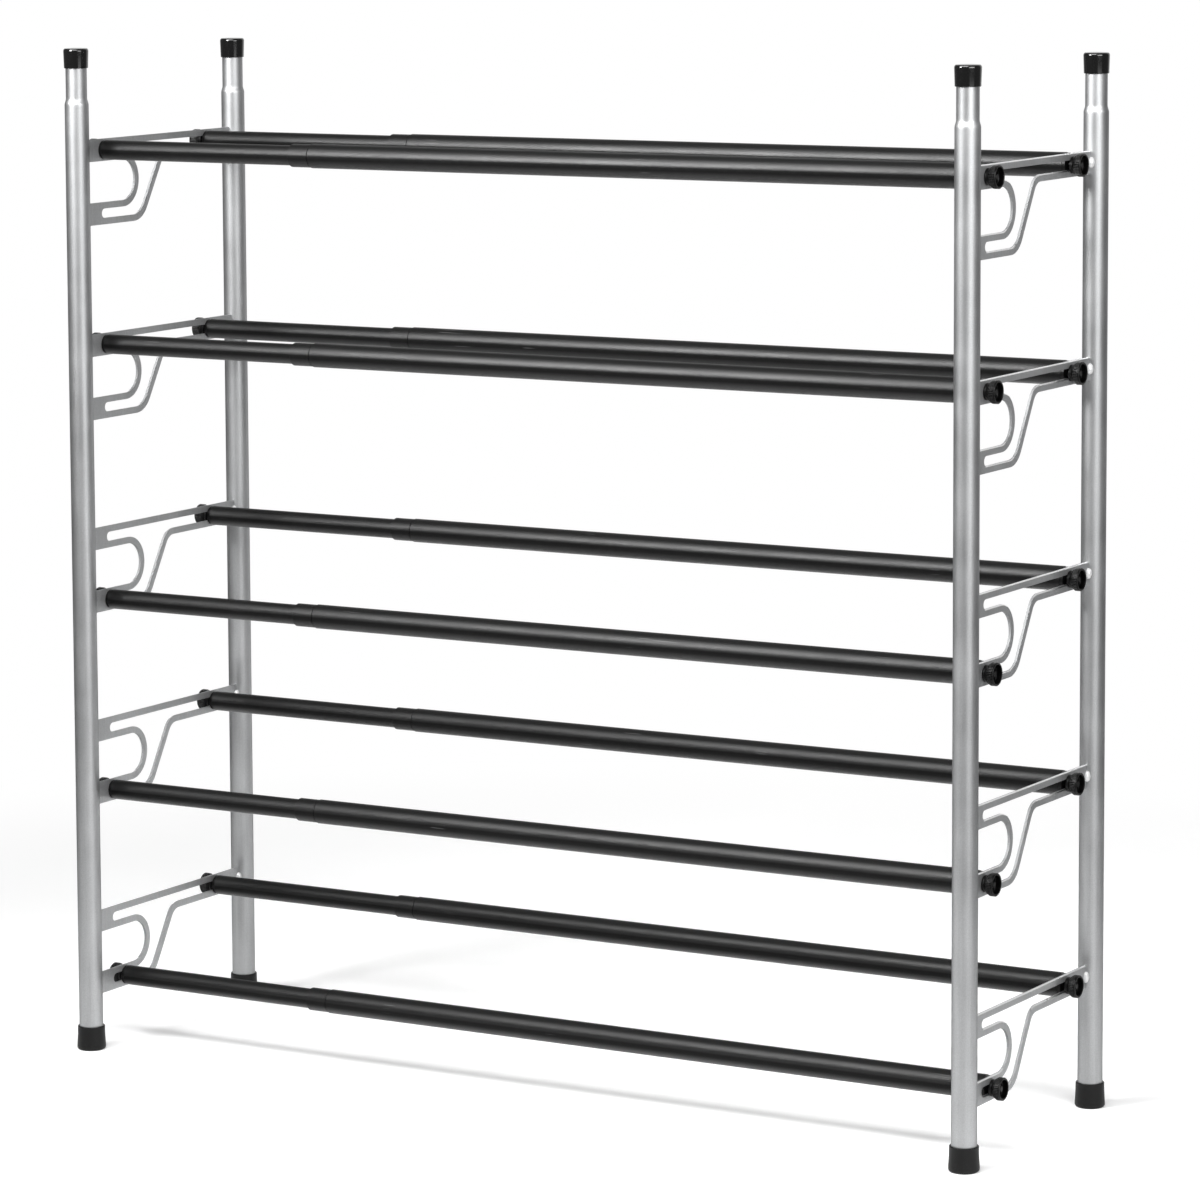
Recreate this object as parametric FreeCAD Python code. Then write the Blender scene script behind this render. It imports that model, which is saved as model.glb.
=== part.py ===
"""Expandable five-tier shoe rack: two welded end frames joined by ten telescopic rods.

X runs across the rack, Y from front to rear and Z up. The origin is on the floor, at the
middle of the rack. All sizes are in millimetres. Tier 1 is the lowest.
"""
import FreeCAD, Part
import math
import os

# Where the posts stand, axis to axis, and the height over the caps
POST_SPAN_X = 900.0
POST_SPAN_Y = 256.0
RACK_H = 932.6

# Tiers, by the top edge of their brackets
TIER_COUNT = 5
BOTTOM_TIER_Z = 129.0
TIER_PITCH = 179.7
SLOPING_TIERS = (1, 2, 3)

# Posts: steel tube, swaged down at the top
POST_D = 22.0
POST_WALL = 0.9
SPIGOT_D = 19.4
SPIGOT_L = 43.7
SWAGE_L = 6.0

# Caps on the spigots
CAP_H = 18.5
CAP_TOP_T = 2.4
CAP_LOWER_D = 22.1
CAP_UPPER_D = 23.1
CAP_CHAMFER = 1.8

# Rubber feet
FOOT_H = 22.3
FOOT_FLOOR_T = 4.0
FOOT_D = 25.3
FOOT_FLARE_D = 26.8
FOOT_FLARE_H = 4.5
FOOT_FLARE_RISE = 17.0
FOOT_EDGE_R = 2.5

# Brackets: punched plate, measured back from the front post's axis and down from the top edge
PLATE_T = 2.2
PLATE_INSET = 1.2
STRIP_W = 6.0
SLOT_W = 8.6
LOOP_R = 25.0
LOOP_SETBACK = 69.0
RAMP_TOP_BEHIND_LOOP = 64.5
RAMP_FOOT_BEHIND_LOOP = 28.8
RAMP_TOP_R = 16.0
RAMP_FOOT_R = 22.0
FRONT_ROD_SETBACK = 38.3
REAR_ROD_SETBACK = 48.7

# Rods: two tubes, one inside the other
OUTER_TUBE_D = 21.9
OUTER_TUBE_L = 662.6
OUTER_TUBE_WALL = 0.6
INNER_TUBE_D = 18.1
INNER_TUBE_L = 635.0
INNER_TUBE_WALL = 0.6
TUBE_EDGE = 0.3
BOTTOM_FRONT_ROD_BACK = 16.0

# Collars in the outer tubes' mouths
COLLAR_L = 20.4
COLLAR_D = 20.9
COLLAR_CHAMFER = 0.5
COLLAR_GROOVE_L = 0.8
COLLAR_SLEEVE_L = 25.0

# End plugs in the tubes' bracket ends
PLUG_FLANGE_T = 3.0
PLUG_FLANGE_STEP = 0.4
PLUG_FLANGE_CHAMFER = 0.4
PLUG_INSERT_L = 15.0

# Knobs, measured outward from the bracket
SHANK_D = 8.0
SHANK_IN_PLUG = 12.0
KNOB_FLANGE_D = 14.8
KNOB_FLANGE_T = 1.6
KNOB_WAIST_D = 13.6
KNOB_WAIST_L = 1.4
KNOB_THROAT_D = 15.6
KNOB_FLARE_L = 3.4
KNOB_HEAD_D = 20.6
KNOB_GRIP_L = 4.8
KNOB_CHAMFER = 0.5
KNOB_RIM_T = 1.2
KNOB_RECESS_L = 5.0
KNOB_BOSS_D = 5.2
KNOB_BOSS_L = 2.8

# Clearances: on a radius for round fits, along the axis for the others
WELD_GAP = 0.05
PUSH_FIT = 0.05
SLIDE_FIT = 0.10
FACE_GAP = 0.10

# Points closer than this are one point
SAME_POINT = 1e-6

POST_R = POST_D / 2
POST_TOP_Z = RACK_H - CAP_TOP_T
TRACK_UPPER_Z = -STRIP_W - SLOT_W / 2
TRACK_LOWER_Z = TRACK_UPPER_Z - SLOT_W - 2 * LOOP_R
SIDES = {"left": -1, "right": 1}
ROWS = {"front": -POST_SPAN_Y / 2, "rear": POST_SPAN_Y / 2}
TIERS = range(1, TIER_COUNT + 1)
PLATE_X = POST_SPAN_X / 2 - PLATE_INSET
KNOB_FACE_X = PLATE_X + PLATE_T / 2 + FACE_GAP
ROD_END_X = PLATE_X - PLATE_T / 2 - FACE_GAP


def vec(x, y, z):
    return FreeCAD.Vector(x, y, z)


def tier_top(tier):
    """Height of the top edge of a tier's brackets."""
    return BOTTOM_TIER_Z + (tier - 1) * TIER_PITCH


def rod_axis(row, tier):
    """Y and Z of a rod's axis."""
    if row == "rear":
        return ROWS["rear"] - REAR_ROD_SETBACK, tier_top(tier) + TRACK_UPPER_Z
    y = ROWS["front"] + FRONT_ROD_SETBACK
    if tier == 1:
        y += BOTTOM_FRONT_ROD_BACK
    drop = TRACK_LOWER_Z if tier in SLOPING_TIERS else TRACK_UPPER_Z
    return y, tier_top(tier) + drop


def polygon(points):
    wire = Part.makePolygon(points + points[:1])
    return Part.Face(wire)


def turned_upright(profile, x, y):
    """Solid of revolution about a vertical axis, from (radius, height) points."""
    face = polygon([vec(x + radius, y, z) for radius, z in profile])
    return face.revolve(vec(x, y, 0), vec(0, 0, 1), 360)


def turned_across(profile, y, z):
    """Solid of revolution about an axis along X, from (x, radius) points."""
    face = polygon([vec(x, y, z + radius) for x, radius in profile])
    return face.revolve(vec(0, y, z), vec(1, 0, 0), 360)


def rounded_wire(corners):
    """Closed YZ wire through (y, z, radius) corners, each rounded by an arc of its radius."""
    starts, arcs, ends = [], [], []
    for i, (y, z, radius) in enumerate(corners):
        point = vec(0, y, z)
        back = vec(0, *corners[i - 1][:2]) - point
        ahead = vec(0, *corners[(i + 1) % len(corners)][:2]) - point
        back.normalize()
        ahead.normalize()
        half = back.getAngle(ahead) / 2
        run = radius / math.tan(half)
        starts.append(point + back * run)
        ends.append(point + ahead * run)
        inward = back + ahead
        inward.normalize()
        arcs.append(point + inward * (radius / math.sin(half) - radius))
    edges = []
    for i, corner in enumerate(corners):
        if corner[2] > 0:
            edges.append(Part.Arc(starts[i], arcs[i], ends[i]).toShape())
        start = starts[(i + 1) % len(corners)]
        if ends[i].distanceToPoint(start) > SAME_POINT:
            edges.append(Part.LineSegment(ends[i], start).toShape())
    return Part.Wire(edges)


def post(side, row):
    """Thin tube that steps down to the spigot on a short cone."""
    swage_top = POST_TOP_Z - SPIGOT_L
    swage_foot = swage_top - SWAGE_L
    spigot_r = SPIGOT_D / 2
    outside = [(POST_R, FOOT_FLOOR_T), (POST_R, swage_foot),
               (spigot_r, swage_top), (spigot_r, POST_TOP_Z)]
    inside = [(radius - POST_WALL, z) for radius, z in reversed(outside)]
    return turned_upright(outside + inside, SIDES[side] * POST_SPAN_X / 2, ROWS[row])


def cap(side, row):
    """Closed sleeve on the spigot, slightly wider at its chamfered top."""
    top = POST_TOP_Z + CAP_TOP_T
    lower = top - CAP_H
    bore = SPIGOT_D / 2 + PUSH_FIT
    upper = CAP_UPPER_D / 2
    profile = [(bore, lower), (CAP_LOWER_D / 2, lower), (upper, top - CAP_CHAMFER),
               (upper - CAP_CHAMFER, top), (0, top), (0, POST_TOP_Z), (bore, POST_TOP_Z)]
    return turned_upright(profile, SIDES[side] * POST_SPAN_X / 2, ROWS[row])


def foot(side, row):
    """Rubber cup under the post, flared where it meets the floor, with a softened lower edge."""
    bore = POST_R + PUSH_FIT
    flare = FOOT_FLARE_D / 2
    profile = [(0, 0), (flare - FOOT_EDGE_R, 0), (flare, FOOT_EDGE_R), (flare, FOOT_FLARE_H),
               (FOOT_D / 2, FOOT_FLARE_H + FOOT_FLARE_RISE), (FOOT_D / 2, FOOT_H), (bore, FOOT_H),
               (bore, FOOT_FLOOR_T), (0, FOOT_FLOOR_T)]
    return turned_upright(profile, SIDES[side] * POST_SPAN_X / 2, ROWS[row])


def bracket_outline():
    """Faces of the plate at X = 0, front post's axis at Y = 0 and top edge at Z = 0."""
    web_foot = -2 * STRIP_W - SLOT_W
    loop_foot = web_foot + STRIP_W - 2 * LOOP_R
    plate_foot = TRACK_LOWER_Z - SLOT_W / 2 - STRIP_W
    loop_inner_r = LOOP_R - STRIP_W
    ramp_top = LOOP_SETBACK + RAMP_TOP_BEHIND_LOOP
    ramp_top_z = web_foot + STRIP_W / 2
    ramp_foot = LOOP_SETBACK + RAMP_FOOT_BEHIND_LOOP
    ramp_foot_z = plate_foot + STRIP_W / 2
    lean = (ramp_top - ramp_foot) / (ramp_top_z - ramp_foot_z)
    edge = STRIP_W / 2 * math.hypot(1, lean)

    def ramp_y(z, side):
        """Edge of the sloping strip at a height: side 1 is its rear edge, -1 its front edge."""
        return ramp_top + lean * (z - ramp_top_z) + side * edge

    outer = [
        (0, 0, 0),
        (POST_SPAN_Y, 0, 0),
        (POST_SPAN_Y, web_foot, 0),
        (ramp_y(web_foot, 1), web_foot, RAMP_TOP_R - STRIP_W / 2),
        (ramp_y(plate_foot, 1), plate_foot, RAMP_FOOT_R + STRIP_W / 2),
        (0, plate_foot, 0),
        (0, loop_foot + STRIP_W, 0),
        (LOOP_SETBACK + loop_inner_r, loop_foot + STRIP_W, loop_inner_r),
        (LOOP_SETBACK + loop_inner_r, web_foot, loop_inner_r),
        (0, web_foot, 0),
    ]
    slot_r = SLOT_W / 2
    slot_front = FRONT_ROD_SETBACK - slot_r
    slot_rear = POST_SPAN_Y - REAR_ROD_SETBACK + slot_r
    slot_foot = web_foot + STRIP_W
    lower_foot = plate_foot + STRIP_W
    track = [
        (slot_front, -STRIP_W, slot_r),
        (slot_rear, -STRIP_W, slot_r),
        (slot_rear, slot_foot, slot_r),
        (ramp_y(slot_foot, -1), slot_foot, RAMP_TOP_R + STRIP_W / 2),
        (ramp_y(lower_foot, -1), lower_foot, RAMP_FOOT_R - STRIP_W / 2),
        (slot_front, lower_foot, slot_r),
        (slot_front, loop_foot, slot_r),
        (LOOP_SETBACK + LOOP_R, loop_foot, LOOP_R),
        (LOOP_SETBACK + LOOP_R, slot_foot, LOOP_R),
        (slot_front, slot_foot, slot_r),
    ]
    return Part.Face(rounded_wire(outer)).cut(Part.Face(rounded_wire(track)))


def brackets(side):
    """A side's plates, cut to meet the posts where they are welded."""
    plate = bracket_outline().extrude(vec(PLATE_T, 0, 0))
    plate.translate(vec(-PLATE_T / 2, 0, 0))
    depth = -plate.BoundBox.ZMin
    for y in (0, POST_SPAN_Y):
        base = vec(SIDES[side] * PLATE_INSET, y, -2 * depth)
        clear = Part.makeCylinder(POST_R + WELD_GAP, 3 * depth, base, vec(0, 0, 1))
        plate = plate.cut(clear)
    solids = []
    for tier in TIERS:
        copy = plate.copy()
        copy.translate(vec(SIDES[side] * PLATE_X, ROWS["front"], tier_top(tier)))
        solids += copy.Solids
    return Part.makeCompound(solids)


def tube_with_plug(side, tube_d, wall, length, row, tier):
    """A rod's tube from its bracket inward, and the flanged plug in its bracket end."""
    y, z = rod_axis(row, tier)
    sign = SIDES[side]
    tube_r = tube_d / 2
    bore = tube_r - wall
    end = ROD_END_X - PLUG_FLANGE_T
    mouth = end - length
    tube = [(end, tube_r), (mouth + TUBE_EDGE, tube_r), (mouth, tube_r - TUBE_EDGE), (mouth, bore),
            (end, bore)]
    flange_r = tube_r - PLUG_FLANGE_STEP
    insert_r = bore - PUSH_FIT
    shank_bore = SHANK_D / 2 + SLIDE_FIT
    tip = end - PLUG_INSERT_L
    plug = [(ROD_END_X, shank_bore), (ROD_END_X, flange_r - PLUG_FLANGE_CHAMFER),
            (ROD_END_X - PLUG_FLANGE_CHAMFER, flange_r), (end, flange_r), (end, insert_r),
            (tip, insert_r), (tip, shank_bore)]
    solids = [turned_across([(sign * x, radius) for x, radius in profile], y, z)
              for profile in (tube, plug)]
    return Part.makeCompound(solids)


def outer_tube(row, tier):
    return tube_with_plug("right", OUTER_TUBE_D, OUTER_TUBE_WALL, OUTER_TUBE_L, row, tier)


def inner_tube(row, tier):
    return tube_with_plug("left", INNER_TUBE_D, INNER_TUBE_WALL, INNER_TUBE_L, row, tier)


def collar(row, tier):
    """Guide bush: a sleeve inside the outer tube's mouth and a chamfered ring in front of it."""
    y, z = rod_axis(row, tier)
    mouth = ROD_END_X - PLUG_FLANGE_T - OUTER_TUBE_L
    ring_end = mouth - COLLAR_GROOVE_L
    front = ring_end - COLLAR_L
    bore = INNER_TUBE_D / 2 + SLIDE_FIT
    sleeve_r = OUTER_TUBE_D / 2 - OUTER_TUBE_WALL - PUSH_FIT
    ring_r = COLLAR_D / 2
    profile = [(front, bore), (front, ring_r - COLLAR_CHAMFER), (front + COLLAR_CHAMFER, ring_r),
               (ring_end, ring_r), (ring_end, sleeve_r), (mouth + COLLAR_SLEEVE_L, sleeve_r),
               (mouth + COLLAR_SLEEVE_L, bore)]
    return turned_across(profile, y, z)


def knob(side, row, tier):
    """Clamping knob: shank through the track, flange on the plate, waist, and a flaring hollow head."""
    y, z = rod_axis(row, tier)
    sign = SIDES[side]
    face = KNOB_FACE_X
    shank_r = SHANK_D / 2
    flange_r = KNOB_FLANGE_D / 2
    head_r = KNOB_HEAD_D / 2
    flange_end = face + KNOB_FLANGE_T
    head = flange_end + KNOB_WAIST_L
    grip = head + KNOB_FLARE_L
    end = grip + KNOB_GRIP_L
    rim_r = head_r - KNOB_CHAMFER
    recess_r = rim_r - KNOB_RIM_T
    recess_floor = end - KNOB_RECESS_L
    boss_end = recess_floor + KNOB_BOSS_L
    profile = [(ROD_END_X - SHANK_IN_PLUG, 0), (ROD_END_X - SHANK_IN_PLUG, shank_r), (face, shank_r),
               (face, flange_r), (flange_end, flange_r),
               (flange_end + KNOB_WAIST_L / 2, KNOB_WAIST_D / 2), (head, KNOB_THROAT_D / 2), (grip, head_r),
               (end - KNOB_CHAMFER, head_r), (end, rim_r), (end, recess_r), (recess_floor, recess_r),
               (recess_floor, KNOB_BOSS_D / 2), (boss_end, KNOB_BOSS_D / 2), (boss_end, 0)]
    return turned_across([(sign * x, radius) for x, radius in profile], y, z)


def build():
    """All nodes by name."""
    nodes = {}
    for side in SIDES:
        for row in ROWS:
            nodes[f"post_{row}_{side}"] = post(side, row)
        nodes[f"{side}_brackets"] = brackets(side)
        nodes[f"{side}_caps"] = Part.makeCompound([cap(side, row) for row in ROWS])
        nodes[f"{side}_feet"] = Part.makeCompound([foot(side, row) for row in ROWS])
    for row in ROWS:
        for tier in TIERS:
            nodes[f"outer_tube_{row}_{tier}"] = outer_tube(row, tier)
            nodes[f"inner_tube_{row}_{tier}"] = inner_tube(row, tier)
            nodes[f"collar_{row}_{tier}"] = collar(row, tier)
            for side in SIDES:
                nodes[f"knob_{row}_{side}_{tier}"] = knob(side, row, tier)
    return nodes


os.makedirs("parts", exist_ok=True)
for name, shape in build().items():
    shape.exportStep(f"parts/{name}.step")
    print(name, len(shape.Solids), "solids", round(shape.Volume), "mm3")
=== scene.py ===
"""Looks of the expandable shoe rack: silver end frames, black telescopic rods and clamping knobs."""
import math

import bpy
from mathutils import Matrix, Vector


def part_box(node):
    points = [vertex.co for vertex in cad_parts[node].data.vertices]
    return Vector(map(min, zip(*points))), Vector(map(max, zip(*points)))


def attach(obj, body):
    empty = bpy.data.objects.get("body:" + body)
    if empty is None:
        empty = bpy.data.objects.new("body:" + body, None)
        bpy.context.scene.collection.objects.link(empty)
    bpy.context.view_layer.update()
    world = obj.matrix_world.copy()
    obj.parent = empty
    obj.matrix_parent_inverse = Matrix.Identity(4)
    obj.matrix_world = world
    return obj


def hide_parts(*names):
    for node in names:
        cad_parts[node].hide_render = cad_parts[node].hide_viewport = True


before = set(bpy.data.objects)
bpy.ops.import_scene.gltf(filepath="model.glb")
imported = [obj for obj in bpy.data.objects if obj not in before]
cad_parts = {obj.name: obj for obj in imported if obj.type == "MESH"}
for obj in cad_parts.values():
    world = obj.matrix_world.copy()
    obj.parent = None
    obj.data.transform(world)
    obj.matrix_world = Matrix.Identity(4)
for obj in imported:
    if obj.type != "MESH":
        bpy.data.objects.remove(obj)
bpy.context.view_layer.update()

bl_info = {
    "name": "Expandable Shoe Rack",
    "version": (1, 0, 0),
    "blender": (4, 5, 0),
    "location": "3D View > Sidebar > Shoe Rack",
    "description": "Dresses the rack's frames, rods and knobs and sets them in a white studio",
    "category": "Object",
}

SIDES = {"left": -1, "right": 1}
ROWS = ("front", "rear")
TIERS = range(1, 6)
MM = 0.001

PRESS_FIT = 0.05 * MM  # gap between pieces that are pressed together
RUNNING_FIT = 0.1 * MM  # gap between pieces that slide or turn in one another
FINE_EDGE = 0.3 * MM  # slope on the small edges of caps and knobs
MERGE_GAP = 0.001 * MM  # points closer than this are one
CAD_MERGE_GAP = 0.002 * MM  # the same for a solid's loose triangles
FLAT_ANGLE = math.radians(0.5)  # triangles that meet more flatly than this are one face
SHARP_ANGLE = math.radians(35)  # an edge that bends more than this is sharp
SMOOTH_ANGLE = math.radians(40)  # faces that meet more flatly than this are shaded as one
RIB_SMOOTH_ANGLE = math.radians(32)  # the same round a knob's ribs
ROUND_SIDES = 72  # sides of posts, caps and feet
ROD_SIDES = 64  # sides of tubes, plugs and collars
BEAD_SIDES = 24  # sides of the weld beads
BEAD_RIPPLES = 3  # swellings along a weld bead
SLICES_PER_RIB = 4  # sides of a knob for each rib and the groove beside it
# The plates' upper edges are painted near white as a highlight, and their punched walls darker as shade.
FACE_UP = 0.9  # a plate's wall looks up where its normal's Z is larger
FACE_OUT = 0.5  # a plate's face is a punched wall where its normal's X is smaller
PAINTED_HIGHLIGHT_EDGE_FINISH, PAINTED_SHADE_WALL_FINISH = 1, 2  # a plate's material slots after that of its faces
FLOOR_SPAN = 40.0  # metres across the studio floor
FLOOR_FADE = (0.7, 1.6)  # metres from the rack between which the floor turns into the room
ROOM_BACK = (0.62, 0.85)  # cosines to straight behind between which reflections find the room white
SENSOR_WIDTH = 36.0  # millimetres
VIEW_REACH = 60.0  # metres that the camera sees


def linear(hex_colour):
    """An sRGB hex colour as linear red, green and blue."""
    parts = [int(hex_colour[i:i + 2], 16) / 255 for i in (1, 3, 5)]
    return [c / 12.92 if c <= 0.04045 else ((c + 0.055) / 1.055) ** 2.4 for c in parts]


def length(title, note, millimetres):
    """A size that the panel shows, given in millimetres."""
    return bpy.props.FloatProperty(name=title, description=note, default=millimetres * MM,
                                   min=0.0, precision=5, unit="LENGTH")


def colour(title, note, hex_colour):
    """A colour that the panel shows, given as sRGB hex."""
    return bpy.props.FloatVectorProperty(name=title, description=note, default=linear(hex_colour),
                                         min=0.0, max=1.0, size=3, subtype="COLOR")


def power(title, note, watts):
    """A lamp's power, given in watts."""
    return bpy.props.FloatProperty(name=title, description=note, default=watts, min=0.0, unit="POWER")


class RackColours(bpy.types.PropertyGroup):
    silver: colour("Silver coat", "Powder coat on the posts and brackets", "#BDBEBF")
    # Painted highlight: the near-white edge colour stands in for the light on the plates' upper edges.
    edge: colour("Punched edge", "Thin coat over the plates' rounded upper edges", "#F6F6F6")
    # Painted shade: the wall colour is a darker silver that stands in for the shade on the punched walls.
    wall: colour("Sheared wall", "Punched walls of the plates", "#9C9D9E")
    # Painted highlight: the near-white bead colour stands in for the light that the weld beads catch.
    bead: colour("Weld bead", "Coat over the weld beads, which sit proud and stay bright", "#F2F2F2")
    rod: colour("Rod coat", "Textured black of the tubes and collars", "#0F0F0F")
    # On the rods the scuff colour marks real scuffs; on the knobs it greys the ribs' crests as a painted
    # highlight.
    scuff: colour("Scuff", "Rubbed places on the black rods and knobs", "#4A4A4A")
    plastic: colour("Black plastic", "Knobs and end plugs", "#070707")
    cap: colour("Cap plastic", "Glossy caps on the posts", "#080808")
    rubber: colour("Rubber", "Feet", "#0B0B0B")
    dust: colour("Dust", "Pale dust that rubber picks up near the floor", "#20201F")
    floor: colour("Floor", "Studio floor", "#F4F4F4")


class RackSizes(bpy.types.PropertyGroup):
    swage: length("Swage length", "Height over which a post narrows to its spigot", 6.0)
    swage_lead: length("Swage lead", "Straight stretch at each end of the swage", 2.0)
    spigot_length: length("Spigot length", "Narrow top of a post", 43.7)
    spigot_diameter: length("Spigot diameter", "Across the narrow top of a post", 19.4)
    post_wall: length("Post wall", "Thickness of a post's tube", 0.9)
    cap_lower: length("Cap lower diameter", "Across a cap's lower edge", 22.1)
    cap_round: length("Cap rounding", "Width of the soft shoulder round a cap's top", 1.8)
    cap_shoulder: length("Cap shoulder", "Height of the soft shoulder round a cap's top", 2.6)
    cap_dome: length("Cap dome", "Rise of a cap's top inside the shoulder", 0.4)
    foot_diameter: length("Foot diameter", "Across a foot's upper part", 25.3)
    foot_flare: length("Foot flare height", "Height at which a foot is widest", 4.5)
    foot_edge: length("Foot edge", "Softened edge at the floor", 2.5)
    foot_round: length("Foot rounding", "Rounding of a foot's rim and bore", 0.6)
    foot_floor: length("Foot floor", "Rubber under the post", 4.0)
    plate_edge: length("Plate edge", "Rounding of the punched plates' upper edges", 1.0)
    bead_length: length("Bead length", "Height of a weld bead", 10.0)
    bead_width: length("Bead width", "Across a weld bead", 6.4)
    bead_ripple: bpy.props.FloatProperty(name="Bead ripple", description="Share by which a bead swells",
                                         default=0.03, min=0.0, max=0.2, subtype="FACTOR")
    bead_drop: length("Bead drop", "How far the upper front bead lies below the track's middle", 2.0)
    bead_rise: length("Bead rise", "How far a bead's middle stands outside the plate's face", 0.5)
    bead_reach: length("Bead reach", "How far a bead's middle lies inside the plate's end", 0.6)
    tube_wall: length("Tube wall", "Thickness of the rod tubes", 0.6)
    tube_edge: length("Tube edge", "Rounding of the tubes' cut ends", 0.28)
    plug_flange: length("Plug flange", "Rim of an end plug outside its tube", 3.0)
    plug_step: length("Plug step", "How far the rim stands below the tube's skin", 0.4)
    plug_insert: length("Plug insert", "Part of an end plug inside its tube", 15.0)
    plug_edge: length("Plug edge", "Rounding of an end plug's edges", 0.4)
    collar_ring: length("Collar ring", "Part of a collar in front of the outer tube", 20.4)
    collar_groove: length("Collar groove", "Depth of the groove at the outer tube's mouth", 0.8)
    collar_edge: length("Collar edge", "Rounding of a collar's edges", 0.3)
    shank: length("Knob shank", "Across a knob's shank", 8.0)
    knob_flange: length("Knob flange", "Thickness of the disc against the plate", 1.6)
    knob_flange_diameter: length("Knob flange diameter", "Across the disc against the plate", 14.8)
    knob_waist: length("Knob waist", "Length of the groove behind the head", 1.4)
    knob_waist_diameter: length("Knob waist diameter", "Across the bottom of the groove", 13.6)
    knob_waist_slope: length("Knob waist slope", "Length of the slopes into the groove", 0.4)
    knob_throat: length("Knob throat", "Across the head's narrow end", 15.6)
    knob_grip: length("Knob grip", "Length of the head's widest part", 4.8)
    knob_inset: length("Knob inset", "How far the ribs' crests stand inside the solid's grip", 0.3)
    knob_flare: length("Knob flare", "Length over which the head widens", 3.4)
    knob_chamfer: length("Knob chamfer", "Slope round the head's outer end", 0.5)
    knob_lip: length("Knob lip", "Softened corners beside the head's slopes", 0.1)
    knob_rim: length("Knob rim", "Flat ring round the recess", 1.2)
    knob_recess: length("Knob recess", "Depth of the hollow in the head", 5.0)
    knob_boss: length("Knob boss diameter", "Across the stub in the recess", 5.2)
    knob_boss_length: length("Knob boss length", "Height of the stub in the recess", 2.8)
    rib_depth: length("Rib depth", "Depth of the grooves between the grip's ribs", 0.8)
    rib_count: bpy.props.IntProperty(name="Ribs", description="Ribs round a knob's grip", default=44,
                                     min=12, max=80)


class RackStage(bpy.types.PropertyGroup):
    place: bpy.props.FloatVectorProperty(name="Camera place", description="Where the camera stands",
                                         default=(2.2798, -3.9386, 1.1177), size=3,
                                         subtype="TRANSLATION", unit="LENGTH")
    heading: bpy.props.FloatProperty(name="Heading", description="Turn of the camera about the vertical",
                                     default=math.radians(31.038), subtype="ANGLE")
    tilt: bpy.props.FloatProperty(name="Tilt", description="How far the camera looks down",
                                  default=math.radians(6.541), subtype="ANGLE")
    roll: bpy.props.FloatProperty(name="Roll", description="Turn of the camera about its own axis",
                                  default=math.radians(-0.4006), subtype="ANGLE")
    lens: bpy.props.FloatProperty(name="Lens", description="Focal length on a 36 mm sensor",
                                  default=153.21, unit="CAMERA")
    shift: bpy.props.FloatVectorProperty(name="Shift", description="Frame shift, right and up",
                                         default=(0.0932, -0.1446), size=2)
    key: power("Key light", "Softbox in front, to the left and above, which lights the rods", 7.6)
    side: power("Side light", "Softbox at the right, above the caps", 9.2)
    fill: power("Fill light", "Reflector at the right, down to the floor", 2.6)
    top: power("Top light", "Large softbox above and in front, which gives the floor shadows", 29.0)
    lift: bpy.props.FloatProperty(name="Floor lift", description="White added to the floor as it is seen",
                                  default=0.19, min=0.0, max=1.0, subtype="FACTOR")
    ambient: bpy.props.FloatProperty(name="Ambient", description="Even light from the white room",
                                     default=0.18, min=0.0, max=1.0, subtype="FACTOR")


def add_node(tree, kind, inputs=None, **settings):
    """Adds a shader node. An input is given a value, or the output socket that feeds it."""
    made = tree.nodes.new(kind)
    for name, value in settings.items():
        setattr(made, name, value)
    for key, value in (inputs or {}).items():
        if isinstance(value, bpy.types.NodeSocket):
            tree.links.new(value, made.inputs[key])
        else:
            made.inputs[key].default_value = value
    return made


def per_metre(millimetres):
    """Texture scale whose features are about this size."""
    return 1 / (millimetres * MM)


def new_material(name):
    """An empty material and its node tree."""
    material = bpy.data.materials.new(name)
    material.use_nodes = True
    material.node_tree.nodes.clear()
    return material, material.node_tree


def opaque(value):
    """A colour with full alpha."""
    return (*value, 1.0)


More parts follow.
